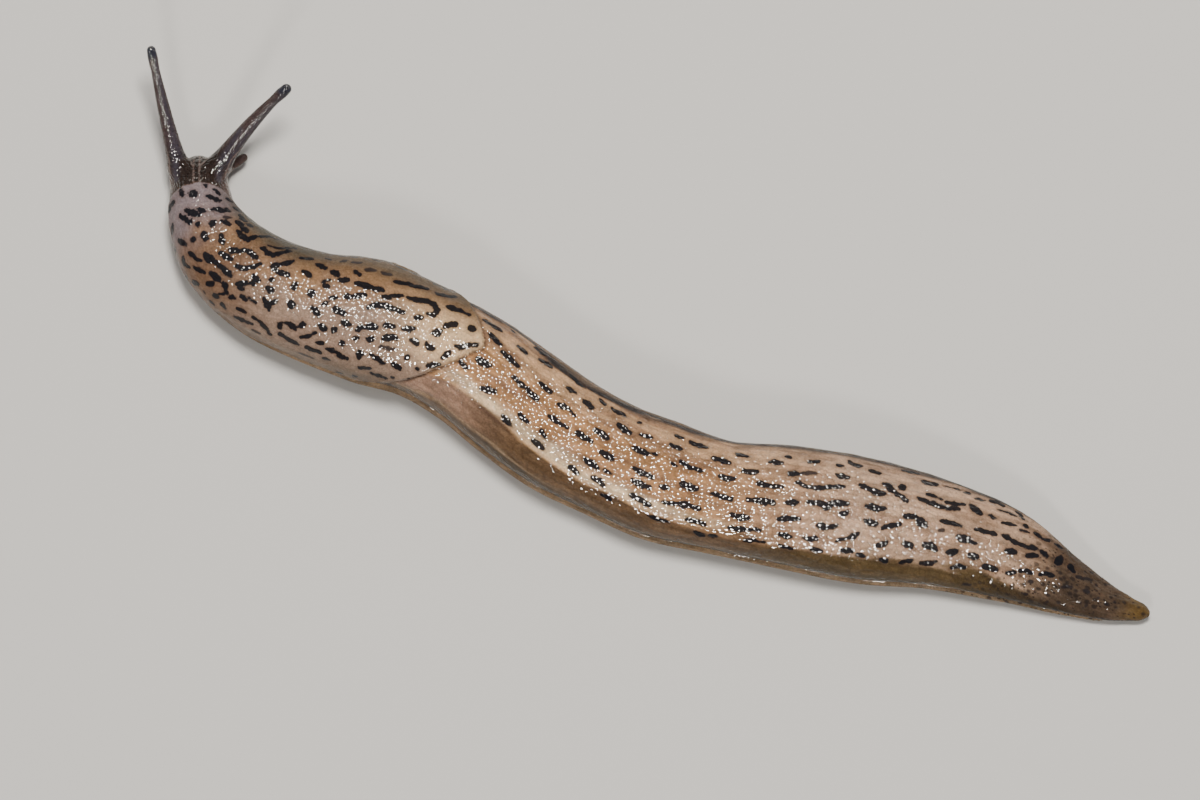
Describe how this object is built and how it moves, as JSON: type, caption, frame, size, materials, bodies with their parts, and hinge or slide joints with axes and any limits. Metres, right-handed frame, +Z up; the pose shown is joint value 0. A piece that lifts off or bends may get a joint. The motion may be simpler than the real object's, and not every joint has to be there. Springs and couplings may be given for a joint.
{
  "type": "leopard slug",
  "caption": "Still life-size leopard slug, stretched out in a crawl with the head turned, feelers out, a spotted mantle saddle, a keeled tail and a flat foot with a fringe.",
  "frame": {"origin": "on the floor under the middle of the whole model's box", "axes": "+X along the body from head to tail, +Y to the slug's right-hand side, +Z up from the sole"},
  "size_m": [0.1539, 0.0356, 0.0135],
  "materials": {
    "head_skin": "wet",
    "mantle_skin": "wet",
    "trunk_skin": "wet",
    "tail_skin": "wet",
    "foot_skin": "wet",
    "tentacle_skin": "wet",
    "eye": "gloss"
  },
  "bodies": {
    "root": {"head": "head_skin", "neck": "head_skin", "mantle": "mantle_skin", "trunk_front": "trunk_skin", "trunk_middle": "trunk_skin", "trunk_rear": "trunk_skin", "tail": "tail_skin", "tail_tip": "tail_skin", "foot_front": "foot_skin", "foot_middle": "foot_skin", "foot_rear": "foot_skin", "optic_tentacle_left_base": "tentacle_skin", "optic_tentacle_left_end": "tentacle_skin", "optic_tentacle_right_base": "tentacle_skin", "optic_tentacle_right_end": "tentacle_skin", "oral_tentacle_left": "tentacle_skin", "oral_tentacle_right": "tentacle_skin", "eye_left": "eye", "eye_right": "eye"}
  },
  "joints": []
}
